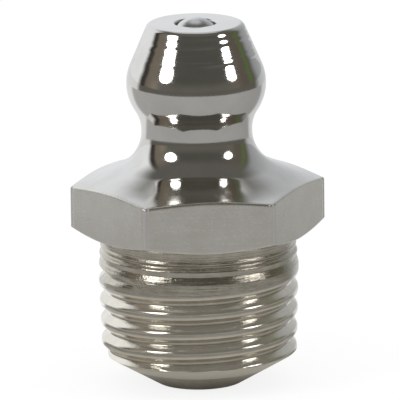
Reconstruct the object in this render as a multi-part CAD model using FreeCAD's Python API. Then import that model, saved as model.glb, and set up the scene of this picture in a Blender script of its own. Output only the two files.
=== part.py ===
import FreeCAD, Part
import math
import os

# Straight grease nipple with a short taper thread, in millimetres.
# The origin is the middle of the thread's end face, and +Z runs up to the head.

# Overall heights above the end face
OVERALL_HEIGHT = 18.2
HEX_UNDERSIDE = 7.7

# Head, from its top face down to the neck
HEAD_TOP_RADIUS = 2.38
HEAD_TOP_ROUNDING = 0.3
HEAD_CONE_ANGLE = 23.3
HEAD_BELT_RADIUS = 3.78
HEAD_BELT_ROUNDING = 2.4
HEAD_UNDERCUT_ANGLE = 33.4

# Neck and the shoulder that flares out to the hexagon
NECK_RADIUS = 2.75
NECK_TOP_FILLET = 1.5
NECK_FOOT_FILLET = 2.0
SHOULDER_SLOPE = 24.0
SHOULDER_RADIUS = 5.3
SHOULDER_BLEND = 7.0

# Hexagon
ACROSS_FLATS = 11.0
HEX_FLAT_HEIGHT = 2.59
HEX_TOP_SLOPE = 12.0
HEX_CORNER_BREAK = 0.9
HEX_BREAK_SLOPE = 22.5

# Taper thread, 10 mm across at its gauge height
THREAD_DIAMETER = 10.0
THREAD_GAUGE_HEIGHT = 6.5
THREAD_TAPER = 1.0 / 16.0
THREAD_PITCH = 1.0
THREAD_FLANK_ANGLE = 30.0
THREAD_CREST_FLAT = 0.42
THREAD_ROOT_FLAT = 0.15
THREAD_CREST_ROUNDING = 0.3
THREAD_TOP_ROOT = 5.1
RELIEF_HEIGHT = 6.75
RELIEF_DEPTH = 0.45
RELIEF_WIDTH = 0.6
RELIEF_ROUNDING = 0.12
COLLAR_RADIUS = 4.92

# End of the thread, rolled in to hold the spring
END_FACE_RADIUS = 2.1
END_EDGE_ROUNDING = 0.35
END_CONE_ANGLE = 59.5
LIP_RADIUS = 0.95
LIP_THICKNESS = 0.45
LIP_SLOPE = 35.0

# Grease passage and valve seat
BORE_RADIUS = 1.5
SEAT_ANGLE = 30.0
OPENING_RADIUS = 1.02
OPENING_BREAK = 0.06

# Check ball
BALL_RADIUS = 1.25
BALL_PROUD = 0.28
SEAT_CLEARANCE = 0.02

# Spring
SPRING_OUTER_RADIUS = 1.25
WIRE_RADIUS = 0.15
SPRING_COILS = 5
SPRING_END_GAP = 0.02
SPRING_CLEARANCE = 0.02

# Values worked out from the driving dimensions
CORNER_RADIUS = ACROSS_FLATS / 2 / math.cos(math.radians(30))
FLAT_TOP = HEX_UNDERSIDE + HEX_FLAT_HEIGHT
THREAD_FLANK_HEIGHT = (THREAD_PITCH - THREAD_CREST_FLAT - THREAD_ROOT_FLAT) / 2
THREAD_DEPTH = THREAD_FLANK_HEIGHT / math.tan(math.radians(THREAD_FLANK_ANGLE))
THREAD_HALF_MOUTH = THREAD_FLANK_HEIGHT + THREAD_ROOT_FLAT / 2
CUT_MARGIN = 0.25

UP = FreeCAD.Vector(0, 0, 1)
ORIGIN = FreeCAD.Vector(0, 0, 0)


def point(radius, height):
    return FreeCAD.Vector(radius, 0, height)


def tan(degrees):
    return math.tan(math.radians(degrees))


def sin(degrees):
    return math.sin(math.radians(degrees))


def crest_radius(height):
    return THREAD_DIAMETER / 2 + (height - THREAD_GAUGE_HEIGHT) * THREAD_TAPER / 2


def corner_arc(before, corner, after, radius):
    # Returns the two tangent points of a rounded corner and the middle of its arc.
    back = (before - corner).normalize()
    forward = (after - corner).normalize()
    half_angle = back.getAngle(forward) / 2
    reach = radius / math.tan(half_angle)
    bisector = (back + forward).normalize()
    centre = corner + bisector * (radius / math.sin(half_angle))
    middle = centre - bisector * radius
    return corner + back * reach, middle, corner + forward * reach


def rounded_outline(corners):
    # Joins (point, rounding) pairs with straight lines and tangent arcs into one closed wire.
    edges = []
    places = [place for place, _ in corners]
    start = places[0]
    for index, (place, rounding) in enumerate(corners[1:], 1):
        if rounding == 0:
            edges.append(Part.LineSegment(start, place).toShape())
            start = place
            continue
        entry, middle, leave = corner_arc(places[index - 1], place, places[index + 1], rounding)
        edges.append(Part.LineSegment(start, entry).toShape())
        edges.append(Part.Arc(entry, middle, leave).toShape())
        start = leave
    edges.append(Part.LineSegment(start, places[0]).toShape())
    return Part.Wire(edges)


def turned(corners):
    return Part.Face(rounded_outline(corners)).revolve(ORIGIN, UP, 360)


def head_and_shoulder():
    # The turned upper half, up from the underside of the hexagon, wider than its corners.
    blank_radius = CORNER_RADIUS * 1.2
    belt_height = OVERALL_HEIGHT - (HEAD_BELT_RADIUS - HEAD_TOP_RADIUS) / tan(HEAD_CONE_ANGLE)
    neck_top = belt_height - (HEAD_BELT_RADIUS - NECK_RADIUS) / tan(HEAD_UNDERCUT_ANGLE)
    shoulder_height = FLAT_TOP + (ACROSS_FLATS / 2 - SHOULDER_RADIUS) * tan(HEX_TOP_SLOPE)
    neck_foot = shoulder_height + (SHOULDER_RADIUS - NECK_RADIUS) * tan(SHOULDER_SLOPE)
    rim_height = FLAT_TOP - (blank_radius - ACROSS_FLATS / 2) * tan(HEX_TOP_SLOPE)
    break_radius = CORNER_RADIUS - HEX_CORNER_BREAK
    break_height = HEX_UNDERSIDE + (blank_radius - break_radius) * tan(HEX_BREAK_SLOPE)
    return turned([
        (point(0, HEX_UNDERSIDE), 0),
        (point(break_radius, HEX_UNDERSIDE), 0),
        (point(blank_radius, break_height), 0),
        (point(blank_radius, rim_height), 0),
        (point(SHOULDER_RADIUS, shoulder_height), SHOULDER_BLEND),
        (point(NECK_RADIUS, neck_foot), NECK_FOOT_FILLET),
        (point(NECK_RADIUS, neck_top), NECK_TOP_FILLET),
        (point(HEAD_BELT_RADIUS, belt_height), HEAD_BELT_ROUNDING),
        (point(HEAD_TOP_RADIUS, OVERALL_HEIGHT), HEAD_TOP_ROUNDING),
        (point(0, OVERALL_HEIGHT), 0),
    ])


def hexagon_bar():
    # Flats face -Y and +Y, as the bar stock lies in the lathe.
    corners = []
    for side in range(7):
        angle = math.radians(60 * side)
        corners.append(FreeCAD.Vector(CORNER_RADIUS * math.cos(angle), CORNER_RADIUS * math.sin(angle), 0))
    return Part.Face(Part.makePolygon(corners)).extrude(UP * OVERALL_HEIGHT)


def groove_outline(height):
    # The V between two turns: mouth, root flat, mouth, going up along the taper.
    root = crest_radius(height) - THREAD_DEPTH
    low = height - THREAD_HALF_MOUTH
    high = height + THREAD_HALF_MOUTH
    return [
        (point(crest_radius(low), low), THREAD_CREST_ROUNDING),
        (point(root, height - THREAD_ROOT_FLAT / 2), 0),
        (point(root, height + THREAD_ROOT_FLAT / 2), 0),
        (point(crest_radius(high), high), THREAD_CREST_ROUNDING),
    ]


def threaded_shank():
    # The tapered shank with its cone end, the thread's grooves as turned rings at the
    # thread's pitch, the relief groove above them and the collar under the hexagon.
    cone_top = (crest_radius(0) - END_FACE_RADIUS) / (tan(END_CONE_ANGLE) - THREAD_TAPER / 2)
    relief_low = RELIEF_HEIGHT - RELIEF_WIDTH / 2
    relief_root = crest_radius(RELIEF_HEIGHT) - RELIEF_DEPTH
    crest_margin = THREAD_CREST_ROUNDING * tan(THREAD_FLANK_ANGLE)
    threaded_length = THREAD_TOP_ROOT - THREAD_HALF_MOUTH - crest_margin - cone_top
    corners = [
        (point(0, 0), 0),
        (point(END_FACE_RADIUS, 0), END_EDGE_ROUNDING),
        (point(crest_radius(cone_top), cone_top), 0),
    ]
    for turns_down in range(math.floor(threaded_length / THREAD_PITCH), -1, -1):
        corners += groove_outline(THREAD_TOP_ROOT - turns_down * THREAD_PITCH)
    corners += [
        (point(crest_radius(relief_low), relief_low), RELIEF_ROUNDING),
        (point(relief_root, RELIEF_HEIGHT), RELIEF_ROUNDING),
        (point(COLLAR_RADIUS, relief_low + RELIEF_WIDTH), RELIEF_ROUNDING),
        (point(COLLAR_RADIUS, HEX_UNDERSIDE), 0),
        (point(0, HEX_UNDERSIDE), 0),
    ]
    return turned(corners)


def grease_passage():
    # The stepped way through: lip, bore, seat cone and the opening in the head's top face.
    lip_top = LIP_THICKNESS + (BORE_RADIUS - LIP_RADIUS) * tan(LIP_SLOPE)
    seat_top = seat_top_height()
    seat_foot = seat_top - (BORE_RADIUS - OPENING_RADIUS) / tan(SEAT_ANGLE)
    return turned([
        (point(0, -CUT_MARGIN), 0),
        (point(LIP_RADIUS, -CUT_MARGIN), 0),
        (point(LIP_RADIUS, LIP_THICKNESS), 0),
        (point(BORE_RADIUS, lip_top), 0),
        (point(BORE_RADIUS, seat_foot), 0),
        (point(OPENING_RADIUS, seat_top), 0),
        (point(OPENING_RADIUS, OVERALL_HEIGHT - OPENING_BREAK), 0),
        (point(OPENING_RADIUS + OPENING_BREAK, OVERALL_HEIGHT), 0),
        (point(OPENING_RADIUS + OPENING_BREAK, OVERALL_HEIGHT + CUT_MARGIN), 0),
        (point(0, OVERALL_HEIGHT + CUT_MARGIN), 0),
    ])


def ball_centre():
    return OVERALL_HEIGHT + BALL_PROUD - BALL_RADIUS


def seat_top_height():
    # The seat cone touches the ball at a distance of its radius plus the clearance.
    reach = (BALL_RADIUS + SEAT_CLEARANCE) / sin(SEAT_ANGLE)
    return ball_centre() + reach - OPENING_RADIUS / tan(SEAT_ANGLE)


def nipple_body():
    upper = head_and_shoulder().common(hexagon_bar())
    return upper.fuse(threaded_shank()).cut(grease_passage()).removeSplitter()


def check_ball():
    return Part.makeSphere(BALL_RADIUS, point(0, ball_centre()))


def spring_turn(height, pitch):
    # One turn as two half rings, each tilted so that it rises by half the pitch.
    radius = SPRING_OUTER_RADIUS - WIRE_RADIUS
    halves = []
    for side, start in ((1, height), (-1, height + pitch / 2)):
        wire = Part.Wire(Part.makeCircle(WIRE_RADIUS, point(side * radius, start), FreeCAD.Vector(0, 1, 0)))
        axis = FreeCAD.Vector(side * pitch / 4, 0, radius)
        halves.append(Part.Face(wire).revolve(UP * (start + pitch / 4), axis, 180))
    return halves


def spring():
    # Closed end coils, and open coils between them.
    coil_radius = SPRING_OUTER_RADIUS - WIRE_RADIUS
    reach = BALL_RADIUS + WIRE_RADIUS + SPRING_CLEARANCE
    top = ball_centre() - math.sqrt(reach ** 2 - coil_radius ** 2)
    lip_rise = max(0, coil_radius + WIRE_RADIUS - LIP_RADIUS) * tan(LIP_SLOPE)
    bottom = LIP_THICKNESS + lip_rise + WIRE_RADIUS + SPRING_CLEARANCE
    end_pitch = 2 * WIRE_RADIUS + SPRING_END_GAP
    open_pitch = (top - bottom - 2 * end_pitch) / SPRING_COILS
    height = bottom
    halves = []
    for pitch in [end_pitch] + [open_pitch] * SPRING_COILS + [end_pitch]:
        halves += spring_turn(height, pitch)
        height += pitch
    return halves[0].fuse(halves[1:])


os.makedirs("parts", exist_ok=True)
nipple_body().exportStep("parts/nipple_body.step")
check_ball().exportStep("parts/check_ball.step")
spring().exportStep("parts/spring.step")
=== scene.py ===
import math

import bmesh
import bpy
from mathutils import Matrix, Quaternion, Vector


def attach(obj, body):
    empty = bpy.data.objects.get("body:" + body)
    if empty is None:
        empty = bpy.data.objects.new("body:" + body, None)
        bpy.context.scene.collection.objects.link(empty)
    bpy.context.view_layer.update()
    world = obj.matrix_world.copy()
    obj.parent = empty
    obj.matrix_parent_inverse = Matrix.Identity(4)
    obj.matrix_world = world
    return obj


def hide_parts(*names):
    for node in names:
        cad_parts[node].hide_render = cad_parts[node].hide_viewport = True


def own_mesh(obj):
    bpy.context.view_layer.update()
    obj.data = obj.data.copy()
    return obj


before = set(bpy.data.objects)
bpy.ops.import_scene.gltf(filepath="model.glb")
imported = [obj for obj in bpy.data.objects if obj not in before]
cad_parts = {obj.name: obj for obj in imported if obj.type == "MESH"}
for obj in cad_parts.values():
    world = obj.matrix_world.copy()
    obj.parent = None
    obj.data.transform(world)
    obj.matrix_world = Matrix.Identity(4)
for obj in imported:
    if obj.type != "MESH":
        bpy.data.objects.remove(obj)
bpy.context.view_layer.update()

# Sizes are in millimetres until a mesh is made. They repeat the solids' sizes, except for the
# section of the thread's groove, the fillet under the belt and the rings in the collar.
MM = 0.001

OVERALL_HEIGHT = 18.2
HEX_UNDERSIDE = 7.7

HEAD_TOP_RADIUS = 2.38
HEAD_TOP_ROUNDING = 0.3
HEAD_CONE_ANGLE = 23.3
HEAD_BELT_RADIUS = 3.78
HEAD_BELT_ROUNDING = 2.4
HEAD_UNDERCUT_ANGLE = 33.4

NECK_RADIUS = 2.75
NECK_TOP_FILLET = 1.9
NECK_FOOT_FILLET = 2.0
SHOULDER_SLOPE = 24.0
SHOULDER_RADIUS = 5.3
SHOULDER_BLEND = 7.0

ACROSS_FLATS = 11.0
HEX_FLAT_HEIGHT = 2.59
HEX_TOP_SLOPE = 12.0
HEX_CORNER_BREAK = 0.9
HEX_BREAK_SLOPE = 22.5
HEX_CORNER_ROUNDING = 0.14
HEX_RIM_ROUNDING = 0.12
HEX_LOWER_ROUNDING = 0.05

THREAD_DIAMETER = 10.0
THREAD_GAUGE_HEIGHT = 6.5
THREAD_TAPER = 1.0 / 16.0
THREAD_PITCH = 1.0
THREAD_DEPTH = 0.32
THREAD_HALF_MOUTH = 0.35
THREAD_HALF_ROOT = 0.05
THREAD_ROOT_ROUNDING = 0.06
THREAD_CREST_ROUNDING = 0.26
THREAD_ROOT_PHASE = 0.223
RUN_OUT_START = 5.72
RUN_OUT_END = 5.88
HELIX_TOP = 6.25
HELIX_BOTTOM = 1.1

COLLAR_RADIUS = 4.92
COLLAR_FILLET = 0.28
COLLAR_FOOT = 6.25
COLLAR_FOOT_RISE = 0.2
# Height, half width and depth of the rings in the collar and under it
COLLAR_RINGS = ((6.32, 0.33, 0.09), (6.87, 0.22, 0.15), (7.17, 0.2, 0.1))

END_FACE_RADIUS = 2.1
END_EDGE_ROUNDING = 0.35
END_CONE_ANGLE = 59.5
END_CONE_BLEND = 0.08
LIP_RADIUS = 0.95
LIP_THICKNESS = 0.45
LIP_SLOPE = 35.0
LIP_OUTER_ROUNDING = 0.1
LIP_INNER_ROUNDING = 0.05

BORE_RADIUS = 1.5
SEAT_ANGLE = 30.0
SEAT_EDGE_ROUNDING = 0.05
OPENING_RADIUS = 1.02
OPENING_BREAK = 0.06

BALL_RADIUS = 1.25
BALL_PROUD = 0.28
SEAT_CLEARANCE = 0.02

SPRING_RADIUS = 1.1
WIRE_RADIUS = 0.15
SPRING_COILS = 5
SPRING_END_GAP = 0.02
SPRING_CLEARANCE = 0.02

CORNER_RADIUS = ACROSS_FLATS / 2 / math.cos(math.radians(30))
FLAT_TOP = HEX_UNDERSIDE + HEX_FLAT_HEIGHT
BALL_CENTRE = OVERALL_HEIGHT + BALL_PROUD - BALL_RADIUS

# How the meshes are divided. The steps of arcs and the columns are in degrees.
HEAD_ARC_STEP = 4.0
GROOVE_ARC_STEP = 9
END_ARC_STEP = 12
COLLAR_FILLET_STEP = 9
SHOULDER_START = 4.6
SHOULDER_STEPS = 9
RIM_STEPS = 6
FLAT_SHARES = (0.03, 0.1, 0.3, 0.5, 0.7, 0.9, 0.97, 1.0)
BAND_STEPS = 60
CONE_ROW_STEP = 0.15
CONE_ROWS = 3
CONE_FOOT = 0.55
CORNER_COLUMNS = [0, 0.25, 0.5, 0.8, 1.2, 1.8, 2.6, 3.6, 4.8]
SIDE_STEPS = 27
SPRING_STEPS = 20
WIRE_SIDES = 16
# Radius and height of the last two rows of the hexagon, from the inner end of its corner break
BREAK_END_ROWS = ((0.02, 0.01), (-0.05, 0.0))

# Finishes of the body, in the order of its material slots
TURNED, FLATS, EDGES, COLLAR, THREAD, GROOVES, INSIDE = range(7)
# Degrees to either side of a corner over which its edge has a paler, rougher finish; the paler
# colour is a painted highlight
CORNER_REACH = 0.9
# Half the width of the strip along each root that has the grooves' finish, partly matt and paler
# than the crests as painted light
GROOVE_REACH = 0.44
# Rows of the end that have the collar's finish: the cone, the face and the hole's outer edge
END_FINISH_ROWS = 12

# Points closer than this, in metres, are one
WELD_DISTANCE = 1e-7
BODY_SHARP_ANGLE = 35
SPRING_SHARP_ANGLE = 50


def tan(degrees):
    return math.tan(math.radians(degrees))


def crest_radius(height):
    return THREAD_DIAMETER / 2 + (height - THREAD_GAUGE_HEIGHT) * THREAD_TAPER / 2


def cone_radius(height):
    return END_FACE_RADIUS + height * tan(END_CONE_ANGLE)


def root_height(angle, turn):
    # Height of the thread's root on one of its turns, at an angle round the axis.
    return THREAD_ROOT_PHASE + THREAD_PITCH * angle / 360 + turn * THREAD_PITCH


def smooth(value):
    value = min(max(value, 0.0), 1.0)
    return value * value * (3 - 2 * value)


def soft_min(a, b, blend):
    # The smaller of two values, with a rounded change from one to the other.
    share = min(max(0.5 + (b - a) / (2 * blend), 0.0), 1.0)
    return b + (a - b) * share - blend * share * (1 - share)


def rounded(corners, step=None, parts=None):
    # Outline points through (radius, height, rounding) corners, with an arc at each rounding.
    points = []
    for index, (radius, height, rounding) in enumerate(corners):
        corner = Vector((radius, height))
        if rounding == 0:
            points.append(corner)
            continue
        back = (Vector(corners[index - 1][:2]) - corner).normalized()
        ahead = (Vector(corners[index + 1][:2]) - corner).normalized()
        half = back.angle(ahead) / 2
        centre = corner + (back + ahead).normalized() * (rounding / math.sin(half))
        start = corner + back * (rounding / math.tan(half)) - centre
        sweep = math.pi - 2 * half
        turn = 1 if back.x * ahead.y - back.y * ahead.x < 0 else -1
        count = parts or max(2, round(math.degrees(sweep) / step))
        for part in range(count + 1):
            angle = turn * sweep * part / count
            spoke = Vector((start.x * math.cos(angle) - start.y * math.sin(angle),
                            start.x * math.sin(angle) + start.y * math.cos(angle)))
            points.append(centre + spoke)
    return [(point.x, point.y) for point in points]


def hexagon_radius(angle):
    # How far out the hexagon reaches at an angle, with its six corners slightly rounded.
    from_corner = math.radians((angle + 30) % 60 - 30)
    flat = ACROSS_FLATS / 2 / math.cos(math.radians(30) - abs(from_corner))
    centre = CORNER_RADIUS - HEX_CORNER_ROUNDING / math.cos(math.radians(30))
    inside = HEX_CORNER_ROUNDING ** 2 - (centre * math.sin(from_corner)) ** 2
    if inside <= 0:
        return flat
    return min(flat, centre * math.cos(from_corner) + math.sqrt(inside))


def head_rows():
    # From the edge of the mouth over the head and down the neck to the shoulder.
    belt = OVERALL_HEIGHT - (HEAD_BELT_RADIUS - HEAD_TOP_RADIUS) / tan(HEAD_CONE_ANGLE)
    neck_top = belt - (HEAD_BELT_RADIUS - NECK_RADIUS) / tan(HEAD_UNDERCUT_ANGLE)
    shoulder = FLAT_TOP + (ACROSS_FLATS / 2 - SHOULDER_RADIUS) * tan(HEX_TOP_SLOPE)
    foot = shoulder + (SHOULDER_RADIUS - NECK_RADIUS) * tan(SHOULDER_SLOPE)
    return rounded([
        (OPENING_RADIUS, OVERALL_HEIGHT - OPENING_BREAK, 0),
        (OPENING_RADIUS + OPENING_BREAK, OVERALL_HEIGHT, 0),
        (OPENING_RADIUS + 2 * OPENING_BREAK, OVERALL_HEIGHT, 0),
        (HEAD_TOP_RADIUS, OVERALL_HEIGHT, HEAD_TOP_ROUNDING),
        (HEAD_BELT_RADIUS, belt, HEAD_BELT_ROUNDING),
        (NECK_RADIUS, neck_top, NECK_TOP_FILLET),
        (NECK_RADIUS, foot, NECK_FOOT_FILLET),
        (SHOULDER_RADIUS, shoulder, 0),
    ], HEAD_ARC_STEP)[:-1]


def shoulder_height(radius):
    # Height of the shoulder's top between the end of the neck's fillet and the corners.
    corner = FLAT_TOP + (ACROSS_FLATS / 2 - SHOULDER_RADIUS) * tan(HEX_TOP_SLOPE)
    half_turn = math.radians(SHOULDER_SLOPE - HEX_TOP_SLOPE) / 2
    reach = SHOULDER_BLEND * math.tan(half_turn)
    start = SHOULDER_RADIUS - reach * math.cos(math.radians(SHOULDER_SLOPE))
    end = SHOULDER_RADIUS + reach * math.cos(math.radians(HEX_TOP_SLOPE))
    if radius <= start:
        return corner + (SHOULDER_RADIUS - radius) * tan(SHOULDER_SLOPE)
    if radius >= end:
        return corner - (radius - SHOULDER_RADIUS) * tan(HEX_TOP_SLOPE)
    end_height = corner - (end - SHOULDER_RADIUS) * tan(HEX_TOP_SLOPE)
    centre_radius = end + SHOULDER_BLEND * math.sin(math.radians(HEX_TOP_SLOPE))
    centre_height = end_height + SHOULDER_BLEND * math.cos(math.radians(HEX_TOP_SLOPE))
    return centre_height - math.sqrt(SHOULDER_BLEND ** 2 - (radius - centre_radius) ** 2)


def hexagon_rows(angle):
    # From the shoulder over the rim, down the flat, round its lower edge and in to the collar.
    side = hexagon_radius(angle)
    span = side - HEX_RIM_ROUNDING - SHOULDER_START
    rows = []
    for step in range(SHOULDER_STEPS):
        radius = SHOULDER_START + span * step / SHOULDER_STEPS
        rows.append((radius, shoulder_height(radius)))
    rim = (side, shoulder_height(side), HEX_RIM_ROUNDING)
    break_radius = CORNER_RADIUS - HEX_CORNER_BREAK
    lower = HEX_UNDERSIDE + max(0.0, side - break_radius) * tan(HEX_BREAK_SLOPE)
    rows += rounded([rows[-1] + (0,), rim, (side, lower, 0)], parts=RIM_STEPS)[1:-1]
    rim_foot = rows[-1][1]
    foot = lower + HEX_LOWER_ROUNDING
    rows += [(side, rim_foot + (foot - rim_foot) * share) for share in FLAT_SHARES]
    # The lower edge's rounding is one row at its middle and one at its end.
    drop = HEX_LOWER_ROUNDING * tan(HEX_BREAK_SLOPE) * 0.9
    rows.append((side - HEX_LOWER_ROUNDING * 0.3, lower + HEX_LOWER_ROUNDING * 0.25))
    rows.append((side - HEX_LOWER_ROUNDING, lower - drop))
    return rows + [(break_radius + out, HEX_UNDERSIDE + up) for out, up in BREAK_END_ROWS]


def band_radius(height):
    # The collar under the hexagon, its fillet and its rings, over the thread's outer cone.
    share = smooth((height - COLLAR_FOOT) / COLLAR_FOOT_RISE)
    radius = crest_radius(height) * (1 - share) + COLLAR_RADIUS * share
    rise = height - (HEX_UNDERSIDE - COLLAR_FILLET)
    if rise > 0:
        radius += COLLAR_FILLET - math.sqrt(max(0.0, COLLAR_FILLET ** 2 - rise ** 2))
    for middle, half, depth in COLLAR_RINGS:
        radius -= depth * smooth(1 - abs(height - middle) / half)
    return radius


def band_rows():
    # Down the collar's fillet and the collar to the top of the helix.
    heights = []
    for angle in range(90, 0, -COLLAR_FILLET_STEP):
        heights.append(HEX_UNDERSIDE - COLLAR_FILLET * (1 - math.sin(math.radians(angle))))
    span = HEX_UNDERSIDE - COLLAR_FILLET - HELIX_TOP
    for step in range(BAND_STEPS + 1):
        heights.append(HELIX_TOP + span * (1 - step / BAND_STEPS))
    return [(band_radius(height), height) for height in heights]


# Half of the groove's section: distance along the axis from its root, and depth
GROOVE = rounded([
    (0, THREAD_DEPTH, 0),
    (THREAD_HALF_ROOT, THREAD_DEPTH, THREAD_ROOT_ROUNDING),
    (THREAD_HALF_MOUTH, 0, THREAD_CREST_ROUNDING),
    (THREAD_PITCH / 2, 0, 0),
], GROOVE_ARC_STEP)

# Rows of one turn from its root, in pitches, and the turns past both ends of the helix
THREAD_OFFSETS = [distance for distance, depth in reversed(GROOVE)]
THREAD_OFFSETS += [-distance for distance, depth in GROOVE[1:-1]]
TOP_TURN = math.ceil(HELIX_TOP - THREAD_ROOT_PHASE) + 1
BOTTOM_TURN = math.floor(HELIX_BOTTOM - THREAD_ROOT_PHASE) - 2


def groove_depth(height, angle):
    # Depth of the helical groove at a height. It runs out under the collar.
    turn = round((height - root_height(angle, 0)) / THREAD_PITCH)
    root = root_height(angle, turn)
    offset = abs(height - root)
    lift = THREAD_DEPTH * smooth((root - RUN_OUT_START) / (RUN_OUT_END - RUN_OUT_START))
    for (near, deep), (far, shallow) in zip(GROOVE, GROOVE[1:]):
        if offset <= far:
            depth = deep + (shallow - deep) * (offset - near) / (far - near)
            return max(0.0, depth - lift)
    return 0.0


def thread_radius(height, angle):
    threaded = band_radius(height) - groove_depth(height, angle)
    return soft_min(threaded, cone_radius(height), END_CONE_BLEND)


def helix_rows(angle):
    # Rows that follow the helix, from above its top to below its bottom.
    rows = []
    for turn in range(TOP_TURN, BOTTOM_TURN, -1):
        for offset in THREAD_OFFSETS:
            height = min(max(root_height(angle, turn + offset), HELIX_BOTTOM), HELIX_TOP)
            rows.append((thread_radius(height, angle), height))
    return rows


def end_rows():
    # Down the cone, round its edge, in over the end face and up to the seat.
    heights = [HELIX_BOTTOM - CONE_ROW_STEP * (step + 1) for step in range(CONE_ROWS)]
    rows = [(cone_radius(height), height) for height in heights]
    lip_top = LIP_THICKNESS + (BORE_RADIUS - LIP_RADIUS) * tan(LIP_SLOPE)
    reach = (BALL_RADIUS + SEAT_CLEARANCE) / math.sin(math.radians(SEAT_ANGLE))
    seat_top = BALL_CENTRE + reach - OPENING_RADIUS / tan(SEAT_ANGLE)
    seat_foot = seat_top - (BORE_RADIUS - OPENING_RADIUS) / tan(SEAT_ANGLE)
    return rows + rounded([
        (cone_radius(CONE_FOOT), CONE_FOOT, 0),
        (END_FACE_RADIUS, 0, END_EDGE_ROUNDING),
        (LIP_RADIUS, 0, LIP_OUTER_ROUNDING),
        (LIP_RADIUS, LIP_THICKNESS, LIP_INNER_ROUNDING),
        (BORE_RADIUS, lip_top, 0),
        (BORE_RADIUS, seat_foot, 0),
        (OPENING_RADIUS, seat_top, SEAT_EDGE_ROUNDING),
        (OPENING_RADIUS, OVERALL_HEIGHT - OPENING_BREAK, 0),
    ], END_ARC_STEP)[:-1]


def body_angles():
    # Closer together at the hexagon's corners, where the flats meet.
    last = CORNER_COLUMNS[-1]
    side = CORNER_COLUMNS + [last + (60 - 2 * last) * step / SIDE_STEPS
                             for step in range(1, SIDE_STEPS)]
    side += [60 - offset for offset in reversed(CORNER_COLUMNS[1:])]
    return [corner * 60 + offset for corner in range(6) for offset in side]


def zone(kind, angle, helix_row):
    # The hexagon's corners, paler as a painted highlight, and the thread's grooves, paler as
    # painted light, differ from what surrounds them.
    if kind == FLATS and abs((angle + 30) % 60 - 30) < CORNER_REACH:
        return EDGES
    if kind != THREAD:
        return kind
    turns, place = divmod(helix_row, len(THREAD_OFFSETS))
    root = root_height(angle, TOP_TURN - turns)
    if root > RUN_OUT_START:
        return COLLAR
    on_flank = THREAD_HALF_ROOT < abs(THREAD_OFFSETS[place]) < GROOVE_REACH
    return GROOVES if root > HELIX_BOTTOM and on_flank else THREAD


def clean(mesh, sharp_angle):
    # Welds what meets, turns the faces outwards and shades them smooth up to an angle.
    shape = bmesh.new()
    shape.from_mesh(mesh)
    bmesh.ops.remove_doubles(shape, verts=shape.verts, dist=WELD_DISTANCE)
    bmesh.ops.dissolve_degenerate(shape, edges=shape.edges, dist=WELD_DISTANCE)
    bmesh.ops.recalc_face_normals(shape, faces=shape.faces)
    shape.to_mesh(mesh)
    shape.free()
    mesh.shade_smooth()
    mesh.set_sharp_from_angle(angle=math.radians(sharp_angle))


def body_mesh():
    # One column of rows for each angle, joined to the next, with the last joined to the first.
    angles = body_angles()
    head, band, end = head_rows(), band_rows(), end_rows()
    columns = []
    for angle in angles:
        hexagon, helix = hexagon_rows(angle), helix_rows(angle)
        columns.append(head + hexagon + band + helix + end)
    count = len(columns[0])
    helix_start = len(head) + len(hexagon) + len(band)
    helix_end = helix_start + len(helix)
    zones = [TURNED] * (len(head) + SHOULDER_STEPS) + [FLATS] * (len(hexagon) - SHOULDER_STEPS)
    zones += [COLLAR] * len(band) + [THREAD] * len(helix) + [COLLAR] * END_FINISH_ROWS
    zones += [INSIDE] * (count - len(zones))
    vertices = []
    for angle, column in zip(angles, columns):
        c, s = math.cos(math.radians(angle)), math.sin(math.radians(angle))
        vertices += [(r * c * MM, r * s * MM, z * MM) for r, z in column]

    def index(column, row):
        # The helix rows of the last column meet those one turn higher in the first.
        row %= count
        if column < len(angles):
            return column * count + row
        if helix_start <= row < helix_end:
            row = max(helix_start, row - len(THREAD_OFFSETS))
        return row

    faces, kinds = [], []
    for column, angle in enumerate(angles):
        for row in range(count):
            corners = [index(column, row), index(column, row + 1),
                       index(column + 1, row + 1), index(column + 1, row)]
            face = list(dict.fromkeys(corners))
            if len(face) > 2:
                faces.append(face)
                kinds.append(zone(zones[row], angle, row - helix_start))
    mesh = bpy.data.meshes.new("nipple_turned_body")
    mesh.from_pydata(vertices, [], faces)
    mesh.polygons.foreach_set("material_index", kinds)
    clean(mesh, BODY_SHARP_ANGLE)
    return mesh


def spring_path():
    # Half turns that each rise level out of the last, closed at both ends of the spring.
    reach = BALL_RADIUS + WIRE_RADIUS + SPRING_CLEARANCE
    top = BALL_CENTRE - math.sqrt(reach ** 2 - SPRING_RADIUS ** 2)
    rise = max(0, SPRING_RADIUS + WIRE_RADIUS - LIP_RADIUS) * tan(LIP_SLOPE)
    bottom = LIP_THICKNESS + rise + WIRE_RADIUS + SPRING_CLEARANCE
    end_pitch = 2 * WIRE_RADIUS + SPRING_END_GAP
    open_pitch = (top - bottom - 2 * end_pitch) / SPRING_COILS
    points = []
    height = bottom
    for pitch in [end_pitch] + [open_pitch] * SPRING_COILS + [end_pitch]:
        wide = math.hypot(SPRING_RADIUS, pitch / 4)
        for side in (1, -1):
            for step in range(SPRING_STEPS):
                angle = math.pi * step / SPRING_STEPS
                points.append(Vector((side * SPRING_RADIUS * math.cos(angle),
                                      side * wide * math.sin(angle),
                                      height + pitch / 4 * (1 - math.cos(angle)))))
            height += pitch / 2
    points.append(Vector((SPRING_RADIUS, 0, height)))
    return points


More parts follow.
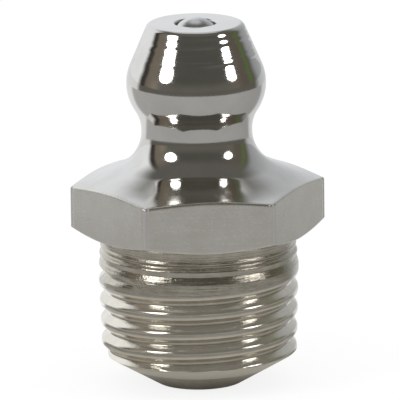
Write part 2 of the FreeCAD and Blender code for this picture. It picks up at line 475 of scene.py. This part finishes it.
def spring_mesh():
    # A round wire along the spring's path, with a flat disc at each end.
    path = spring_path()
    last = len(path) - 1
    vertices, faces = [], []
    for index, place in enumerate(path):
        ahead = path[min(index + 1, last)] - path[max(index - 1, 0)]
        if index in (0, last):
            ahead = Vector((0, 1, 0))
        out = Vector((place.x, place.y, 0)).normalized()
        side = ahead.normalized().cross(out).normalized()
        out = side.cross(ahead.normalized()).normalized()
        for part in range(WIRE_SIDES):
            angle = 2 * math.pi * part / WIRE_SIDES
            spoke = out * math.cos(angle) + side * math.sin(angle)
            vertices.append((place + spoke * WIRE_RADIUS) * MM)
    for index in range(last):
        for part in range(WIRE_SIDES):
            a, b = index * WIRE_SIDES + part, index * WIRE_SIDES + (part + 1) % WIRE_SIDES
            faces.append((a, b, b + WIRE_SIDES, a + WIRE_SIDES))
    faces.append(tuple(range(WIRE_SIDES)))
    faces.append(tuple(range(len(vertices) - 1, len(vertices) - WIRE_SIDES - 1, -1)))
    mesh = bpy.data.meshes.new("spring_wire")
    mesh.from_pydata(vertices, [], faces)
    clean(mesh, SPRING_SHARP_ANGLE)
    return mesh


# View directions of the photograph, level on the floor
VIEW_AZIMUTH = math.radians(5.8)
VIEW_ELEVATION = math.radians(13.4)
TO_RIGHT = Vector((math.cos(VIEW_AZIMUTH), -math.sin(VIEW_AZIMUTH), 0))
TO_CAMERA = Vector((-math.sin(VIEW_AZIMUTH), -math.cos(VIEW_AZIMUTH), 0))
UP = Vector((0, 0, 1))


class Nodes:
    """Adds and links shader nodes in one tree."""

    def __init__(self, tree):
        self.tree = tree
        tree.nodes.clear()

    def add(self, kind, **settings):
        node = self.tree.nodes.new(kind)
        for name, value in settings.items():
            setattr(node, name, value)
        return node

    def put(self, value, socket):
        if isinstance(value, bpy.types.NodeSocket):
            self.tree.links.new(value, socket)
        else:
            socket.default_value = value

    def math(self, operation, a, b=None):
        node = self.add("ShaderNodeMath", operation=operation)
        self.put(a, node.inputs[0])
        if b is not None:
            self.put(b, node.inputs[1])
        return node.outputs[0]

    def ramp(self, value, low, high, start=0.0, end=1.0):
        # Goes smoothly from start to end while value goes from low to high.
        node = self.add("ShaderNodeMapRange", interpolation_type="SMOOTHSTEP")
        for socket, item in zip(node.inputs, (value, low, high, start, end)):
            self.put(item, socket)
        return node.outputs[0]

    def mix(self, share, a, b):
        node = self.add("ShaderNodeMix", data_type="RGBA")
        self.put(share, node.inputs["Factor"])
        self.put(a, node.inputs["A"])
        self.put(b, node.inputs["B"])
        return node.outputs["Result"]

    def dot(self, vector, direction):
        node = self.add("ShaderNodeVectorMath", operation="DOT_PRODUCT")
        self.put(vector, node.inputs[0])
        node.inputs[1].default_value = direction
        return node.outputs["Value"]

    def length(self, vector):
        node = self.add("ShaderNodeVectorMath", operation="LENGTH")
        self.put(vector, node.inputs[0])
        return node.outputs["Value"]

    def scaled(self, vector, scale):
        node = self.add("ShaderNodeVectorMath", operation="MULTIPLY")
        self.put(vector, node.inputs[0])
        node.inputs[1].default_value = scale
        return node.outputs["Vector"]

    def noise(self, vector, scale, detail=3.0, roughness=0.55):
        node = self.add("ShaderNodeTexNoise")
        self.put(vector, node.inputs["Vector"])
        node.inputs["Scale"].default_value = scale
        node.inputs["Detail"].default_value = detail
        node.inputs["Roughness"].default_value = roughness
        return node.outputs["Fac"]

    def bump(self, height, strength, distance, normal=None):
        node = self.add("ShaderNodeBump")
        self.put(height, node.inputs["Height"])
        self.put(strength, node.inputs["Strength"])
        self.put(distance, node.inputs["Distance"])
        if normal is not None:
            self.put(normal, node.inputs["Normal"])
        return node.outputs["Normal"]

    def facing(self):
        return self.add("ShaderNodeLayerWeight").outputs["Facing"]

    def show(self, shader, output_kind="ShaderNodeOutputMaterial"):
        self.put(shader.outputs[0], self.add(output_kind).inputs["Surface"])


# How much finer noise is along x, y and z, for the lines round the axis and for the slow waves
# on the head's cone
LINE_STRETCH = (40, 40, 1000)
RIPPLE_STRETCH = (200, 200, 2600)
# Noise per millimetre, for the patches of colour and for the grain of the surface
PATCH_SCALE = 0.9
GRAIN_SCALE = 9.0
# Depths of the bumps in metres
FINE_RELIEF = 0.00001
ROUGH_RELIEF = 0.00003
RIPPLE_RELIEF = 0.00006
# Where the waves begin, in height and from left to right, and their share on the left
RIPPLE_HEIGHTS = (16.3, 16.8)
RIPPLE_SIDES = (-0.6, 1.2)
LEFT_RIPPLE = 0.35
# Radii between which the shoulder gets duller
RIM_RADII = (4.2, 5.8)
# Layer Weight's facing over which the colour turns pale towards the outline, a painted sheen
SHEEN_FACING = (0.44, 0.6)
# Middle of the noise's range, over which colours and roughness change
NOISE_RANGE = (0.35, 0.65)


def metal(name, colours, rough, line_scale, line_strength, speckle=0.0, ripple=0.0, rim_rough=0.0,
          pale=None, relief=FINE_RELIEF, metallic=1.0):
    # Plated metal: two near colours in patches, fine lines round the axis, and small pits.
    material = bpy.data.materials.new(name)
    material.use_nodes = True
    n = Nodes(material.node_tree)
    place = n.add("ShaderNodeTexCoord").outputs["Object"]
    millimetres = n.scaled(place, (1000, 1000, 1000))
    patches = n.noise(millimetres, PATCH_SCALE)
    lines = n.noise(n.scaled(place, LINE_STRETCH), line_scale, detail=4.0, roughness=0.7)
    grain = n.noise(millimetres, GRAIN_SCALE, detail=2.0)

    base = n.mix(n.ramp(patches, *NOISE_RANGE), colours[0] + (1,), colours[1] + (1,))
    # A painted sheen: the colour turns pale where the surface is seen edge on.
    if pale:
        base = n.mix(n.ramp(n.facing(), *SHEEN_FACING), base, pale + (1,))

    wear = n.math("ADD", n.math("MULTIPLY", grain, 0.5), n.math("MULTIPLY", lines, 0.5))
    roughness = n.ramp(wear, *NOISE_RANGE, *rough)
    if rim_rough:
        across = n.length(n.scaled(millimetres, (1, 1, 0)))
        roughness = n.math("ADD", roughness, n.ramp(across, *RIM_RADII, 0.0, rim_rough))

    height = n.math("ADD", lines, n.math("MULTIPLY", grain, speckle))
    normal = n.bump(height, line_strength, relief)
    if ripple:
        # The waves are on the head's cone, and stronger on its right side.
        on_cone = n.ramp(n.dot(millimetres, UP), *RIPPLE_HEIGHTS)
        to_right = n.ramp(n.dot(millimetres, TO_RIGHT), *RIPPLE_SIDES, LEFT_RIPPLE, 1.0)
        wave = n.noise(n.scaled(place, RIPPLE_STRETCH), 1.0, detail=1.0)
        wave = n.math("MULTIPLY", wave, n.math("MULTIPLY", on_cone, to_right))
        normal = n.bump(wave, ripple, RIPPLE_RELIEF, normal)

    shader = n.add("ShaderNodeBsdfPrincipled")
    n.put(base, shader.inputs["Base Color"])
    n.put(metallic, shader.inputs["Metallic"])
    n.put(roughness, shader.inputs["Roughness"])
    n.put(normal, shader.inputs["Normal"])
    n.show(shader)
    return material


TENT = (0.83, 0.86, 0.89)
BRIGHT_TENT = (0.93, 0.95, 0.97)
TENT_EDGE = (0.05, 0.045, 0.04)
WARM_WALL = (0.19, 0.165, 0.13)
DARK_WALL = (0.09, 0.088, 0.076)
BROWN_WALL = (0.123, 0.105, 0.087)
GREEN_WALL = (0.11, 0.15, 0.065)

# Colours of the room that the metal mirrors, by direction in degrees to the right of the camera
ROOM = (
    (-180, TENT),
    (-113, BRIGHT_TENT),
    (-104, TENT_EDGE),
    (-97, TENT_EDGE),
    (-91, WARM_WALL),
    (-76, WARM_WALL),
    (-60, DARK_WALL),
    (55, DARK_WALL),
    (85, BROWN_WALL),
    (98, BROWN_WALL),
    (102, GREEN_WALL),
    (109, GREEN_WALL),
    (113, (0.12, 0.11, 0.09)),
    (126, (0.33, 0.345, 0.36)),
    (150, (0.43, 0.445, 0.46)),
    (168, (0.55, 0.57, 0.59)),
    (180, TENT),
)
# Above the walls is a dark top with a pale panel in it, behind the object
TOP_COLOUR = (0.125, 0.12, 0.107, 1)
PANEL_COLOUR = (0.60, 0.61, 0.61, 1)
PANEL_DIRECTION = TO_CAMERA * -0.47 + UP * 0.88
PANEL_EDGE = (0.935, 0.975)
# Elevations in degrees between which the top becomes the walls, and over which these get lighter
TOP_ELEVATIONS = (55, 31)
LOW_ELEVATIONS = (24, 4)
LOW_GAIN = 0.5

# Colours of the floor that the metal mirrors, by direction from the object: close by, further out
# and at its edge. The floor glows with them for the metal only, a painted reflection; close by in
# front they are dark, a painted shadow of the object.
NEAR_FLOOR = (
    (-180, (0.72, 0.73, 0.74)),
    (-132, (0.72, 0.73, 0.74)),
    (-125, (0.06, 0.05, 0.03)),
    (126, (0.06, 0.05, 0.03)),
    (132, (0.50, 0.52, 0.53)),
    (180, (0.62, 0.63, 0.64)),
)
FAR_FLOOR = (
    (-180, (0.66, 0.67, 0.68)),
    (-134, (0.66, 0.67, 0.68)),
    (-125, (0.27, 0.27, 0.265)),
    (-60, (0.22, 0.218, 0.21)),
    (60, (0.22, 0.218, 0.21)),
    (131, (0.19, 0.19, 0.185)),
    (140, (0.50, 0.52, 0.53)),
    (180, (0.60, 0.61, 0.62)),
)
EDGE_FLOOR = (
    (-180, (0.80, 0.81, 0.82)),
    (-114, (0.80, 0.81, 0.82)),
    (-105, (0.12, 0.115, 0.10)),
    (112, (0.12, 0.115, 0.10)),
    (127, (0.50, 0.52, 0.53)),
    (180, (0.74, 0.75, 0.76)),
)
# The floor right under the object as the metal sees it, a painted reflection lighter than the
# painted shadow close in front
UNDER_COLOUR = (0.27, 0.255, 0.215, 1)
FLOOR_COLOURS = ((0.17, 0.17, 0.17, 1), (0.19, 0.19, 0.19, 1))
UNLIT_COLOUR = (0.005, 0.005, 0.005, 1)
FLOOR_SEEN = (0.84, 0.84, 0.84, 1)

FLOOR_HALF_WIDTH = 0.6
# Distances from the axis, in metres, between which the mirrored floor changes: out from the
# foot, out from under the object, to the far floor and to its edge
FOOT_SHADOW_DISTANCES = (0.0021, 0.0033)
UNDER_DISTANCES = (0.009, 0.006)
FAR_DISTANCES = (0.031, 0.038)
EDGE_DISTANCES = (0.078, 0.088)
# How strongly the floor glows for the metal right at the foot: a painted contact shadow
FOOT_SHADOW_STRENGTH = 0.25
# Layer Weight's facing of rays that meet the floor steeply, which see the far floor's colours
STEEP_FACING = (0.72, 0.66)

WHITE = (1, 1, 1, 1)
PLAIN_LIGHT = (0.9, 0.9, 0.9, 1)


def around(n, direction, stops):
    # A colour that changes with the direction round the object, as the camera sees it.
    right = n.dot(direction, TO_RIGHT)
    front = n.dot(direction, TO_CAMERA)
    azimuth = n.math("MULTIPLY", n.math("ARCTAN2", right, front), 0.5 / math.pi)
    walls = n.add("ShaderNodeValToRGB")
    elements = walls.color_ramp.elements
    elements.remove(elements[1])
    elements[0].position = 0
    for index, (degrees, colour) in enumerate(stops):
        element = elements[0] if index == 0 else elements.new(degrees / 360 + 0.5)
        element.color = colour + (1,)
    n.put(n.math("ADD", azimuth, 0.5), walls.inputs[0])
    return walls.outputs["Color"]


def room(n, direction):
    # What the metal mirrors: a dark room on the camera's side, a pale tent behind.
    elevation = n.math("MULTIPLY", n.math("ARCSINE", n.dot(direction, UP)), 180 / math.pi)
    panel = n.ramp(n.dot(direction, PANEL_DIRECTION), *PANEL_EDGE)
    top = n.mix(panel, TOP_COLOUR, PANEL_COLOUR)
    tones = n.mix(n.ramp(elevation, *TOP_ELEVATIONS), top, around(n, direction, ROOM))
    in_front = n.ramp(n.dot(direction, TO_CAMERA), 0.0, 0.4)
    low = n.math("MULTIPLY", n.ramp(elevation, *LOW_ELEVATIONS), in_front)
    lit = n.add("ShaderNodeVectorMath", operation="SCALE")
    n.put(tones, lit.inputs[0])
    n.put(n.math("ADD", n.math("MULTIPLY", low, LOW_GAIN), 1.0), lit.inputs["Scale"])
    return lit.outputs["Vector"]


def seen_directly(n, path):
    # 1 for rays from the camera and for those that come through something clear.
    return n.math("MAXIMUM", path.outputs["Is Camera Ray"], path.outputs["Is Transmission Ray"])


def make_world():
    # White to the camera, a plain light to matt surfaces, and the room to the metal.
    world = bpy.data.worlds.new("studio")
    bpy.context.scene.world = world
    world.use_nodes = True
    world.cycles.sampling_method = "NONE"
    n = Nodes(world.node_tree)
    direction = n.add("ShaderNodeTexCoord").outputs["Generated"]
    path = n.add("ShaderNodeLightPath")
    tones = n.mix(path.outputs["Is Glossy Ray"], PLAIN_LIGHT, room(n, direction))
    background = n.add("ShaderNodeBackground")
    n.put(n.mix(seen_directly(n, path), tones, WHITE), background.inputs["Color"])
    n.show(background, "ShaderNodeOutputWorld")


def make_floor():
    # White to the camera, with a faint shadow; the metal sees a painted reflection on it, darker
    # in front than behind, with a painted shadow of the object close by.
    mesh = bpy.data.meshes.new("floor")
    half = FLOOR_HALF_WIDTH
    corners = [(-half, -half, 0), (half, -half, 0), (half, half, 0), (-half, half, 0)]
    mesh.from_pydata(corners, [], [(0, 1, 2, 3)])
    floor = bpy.data.objects.new("floor", mesh)
    bpy.context.scene.collection.objects.link(floor)
    material = bpy.data.materials.new("pale_floor")
    material.use_nodes = True
    n = Nodes(material.node_tree)
    place = n.add("ShaderNodeTexCoord").outputs["Object"]
    across = n.length(place)
    path = n.add("ShaderNodeLightPath")
    edge = n.ramp(across, *EDGE_DISTANCES)

    # The lit part, which takes the shadow. The metal doesn't see it at the floor's edge.
    tone = n.ramp(n.noise(place, 6.0), 0.3, 0.7)
    unlit = n.math("MULTIPLY", edge, path.outputs["Is Glossy Ray"])
    diffuse = n.add("ShaderNodeBsdfDiffuse")
    n.put(n.mix(unlit, n.mix(tone, *FLOOR_COLOURS), UNLIT_COLOUR), diffuse.inputs["Color"])

    # The glowing part: one white for the camera, and the colours of the room for the metal, a
    # painted reflection with a painted shadow close in front and at the foot.
    under = n.ramp(across, *UNDER_DISTANCES)
    near = n.mix(under, around(n, place, NEAR_FLOOR), UNDER_COLOUR)
    steep = n.ramp(n.facing(), *STEEP_FACING)
    steep = n.math("MULTIPLY", steep, n.math("SUBTRACT", 1.0, under))
    far = n.math("MAXIMUM", steep, n.ramp(across, *FAR_DISTANCES))
    painted_reflection = n.mix(far, near, around(n, place, FAR_FLOOR))
    painted_reflection = n.mix(edge, painted_reflection, around(n, place, EDGE_FLOOR))
    seen = seen_directly(n, path)
    # A painted contact shadow: the glow for the metal is weaker at the foot.
    foot = n.ramp(across, *FOOT_SHADOW_DISTANCES, FOOT_SHADOW_STRENGTH, 1.0)
    mirrored = n.math("MULTIPLY", path.outputs["Is Glossy Ray"], foot)
    glow = n.add("ShaderNodeEmission")
    n.put(n.mix(seen, painted_reflection, FLOOR_SEEN), glow.inputs["Color"])
    n.put(n.math("MAXIMUM", seen, mirrored), glow.inputs["Strength"])

    both = n.add("ShaderNodeAddShader")
    n.put(diffuse.outputs[0], both.inputs[0])
    n.put(glow.outputs[0], both.inputs[1])
    n.show(both)
    mesh.materials.append(material)


LAMP_DISTANCE = 0.25
LAMP_AIM = Vector((0, 0, 0.012))
LAMP_RADIANCE = 5.0


def make_lamp(name, azimuth, elevation, radius):
    # A round soft lamp, placed by its direction from the object as the camera sees it. All
    # three measures are in degrees.
    a, e = math.radians(azimuth), math.radians(elevation)
    direction = TO_RIGHT * math.sin(a) * math.cos(e) + TO_CAMERA * math.cos(a) * math.cos(e)
    direction += UP * math.sin(e)
    lamp = bpy.data.lights.new(name, "AREA")
    lamp.shape = "DISK"
    lamp.size = 2 * LAMP_DISTANCE * tan(radius)
    lamp.energy = LAMP_RADIANCE * math.pi * math.pi * (lamp.size / 2) ** 2
    holder = bpy.data.objects.new(name, lamp)
    holder.location = LAMP_AIM + direction * LAMP_DISTANCE
    holder.rotation_mode = "QUATERNION"
    holder.rotation_quaternion = (-direction).to_track_quat("-Z", "Y")
    bpy.context.scene.collection.objects.link(holder)


# The photograph's size and scale, the height on the axis that it looks at, and how far right
# and up of that its middle is
IMAGE_PIXELS = 400
PIXELS_PER_MM = 20.15
AIM_HEIGHT = 8.9
RIGHT_PIXELS = 2.35
UP_PIXELS = 5.7
CAMERA_TILT = -0.75
CAMERA_DISTANCE = 500
SENSOR_WIDTH = 36


def make_camera():
    # Far off with a long lens, so that the view is nearly parallel.
    back = TO_CAMERA * math.cos(VIEW_ELEVATION) + UP * math.sin(VIEW_ELEVATION)
    up = back.cross(TO_RIGHT)
    aim = UP * AIM_HEIGHT + TO_RIGHT * (RIGHT_PIXELS / PIXELS_PER_MM)
    aim += up * (UP_PIXELS / PIXELS_PER_MM)
    camera = bpy.data.objects.new("camera", bpy.data.cameras.new("camera"))
    camera.data.sensor_width = SENSOR_WIDTH
    camera.data.lens = PIXELS_PER_MM * CAMERA_DISTANCE / IMAGE_PIXELS * SENSOR_WIDTH
    camera.data.clip_start = 0.01
    camera.data.clip_end = 10
    camera.location = (aim + back * CAMERA_DISTANCE) * MM
    camera.rotation_mode = "QUATERNION"
    tilt = Quaternion(UP, math.radians(CAMERA_TILT))
    camera.rotation_quaternion = (-back).to_track_quat("-Z", "Y") @ tilt
    bpy.context.scene.collection.objects.link(camera)
    bpy.context.scene.camera = camera


def add_piece(name, mesh, materials, node):
    piece = bpy.data.objects.new(name, mesh)
    bpy.context.scene.collection.objects.link(piece)
    for material in materials:
        mesh.materials.append(material)
    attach(piece, "body")
    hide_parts(node)
    return piece


turned = metal("bright_turned_plate", ((0.77, 0.755, 0.73), (0.73, 0.715, 0.685)),
               rough=(0.05, 0.11), line_scale=9.0, line_strength=0.12, ripple=1.6, rim_rough=0.1)
flats = metal("satin_flats", ((0.90, 0.88, 0.83), (0.86, 0.835, 0.78)),
              rough=(0.26, 0.36), line_scale=5.0, line_strength=0.2, speckle=0.5)
# The corners: rougher than the flats, and paler as a painted highlight.
edges = metal("rough_corners_painted_highlight", ((0.93, 0.92, 0.90), (0.88, 0.87, 0.85)),
              rough=(0.3, 0.45), line_scale=5.0, line_strength=0.2, speckle=0.5)
collar = metal("rough_turned_collar", ((0.65, 0.61, 0.53), (0.54, 0.505, 0.43)),
               rough=(0.10, 0.18), line_scale=7.0, line_strength=1.0, speckle=0.4,
               relief=ROUGH_RELIEF)
# The thread turns pale towards its outline, a painted sheen.
thread = metal("cut_thread_plate", ((0.64, 0.615, 0.555), (0.60, 0.575, 0.515)),
               rough=(0.10, 0.16), line_scale=7.0, line_strength=0.8, speckle=0.6,
               pale=(0.93, 0.92, 0.90))
# The grooves: partly matt, and paler than the crests as painted light in the grooves.
grooves = metal("groove_painted_light", ((0.89, 0.845, 0.75), (0.83, 0.785, 0.69)),
                rough=(0.10, 0.18), line_scale=7.0, line_strength=0.8, speckle=0.6, metallic=0.9)
inside = metal("bore_wall", ((0.45, 0.44, 0.42), (0.38, 0.37, 0.35)),
               rough=(0.3, 0.45), line_scale=4.0, line_strength=0.5, speckle=0.5)
ball_steel = metal("ball_polish", ((0.80, 0.80, 0.80), (0.76, 0.76, 0.76)),
                   rough=(0.22, 0.3), line_scale=3.0, line_strength=0.05)
wire_steel = metal("drawn_wire", ((0.52, 0.51, 0.49), (0.44, 0.43, 0.41)),
                   rough=(0.25, 0.4), line_scale=6.0, line_strength=0.3, speckle=0.4)

body_finishes = (turned, flats, edges, collar, thread, grooves, inside)
add_piece("nipple_turned_body", body_mesh(), body_finishes, "nipple_body")
spring_piece = add_piece("spring_wire", spring_mesh(), (wire_steel,), "spring")
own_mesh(spring_piece)

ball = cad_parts["check_ball"]
ball.data.materials.clear()
ball.data.materials.append(ball_steel)

make_world()
make_floor()
make_lamp("lamp_left", -56, 27, 11.5)
make_lamp("lamp_right", 66.5, 24, 8.5)
make_camera()
bpy.context.scene.view_settings.view_transform = "Standard"
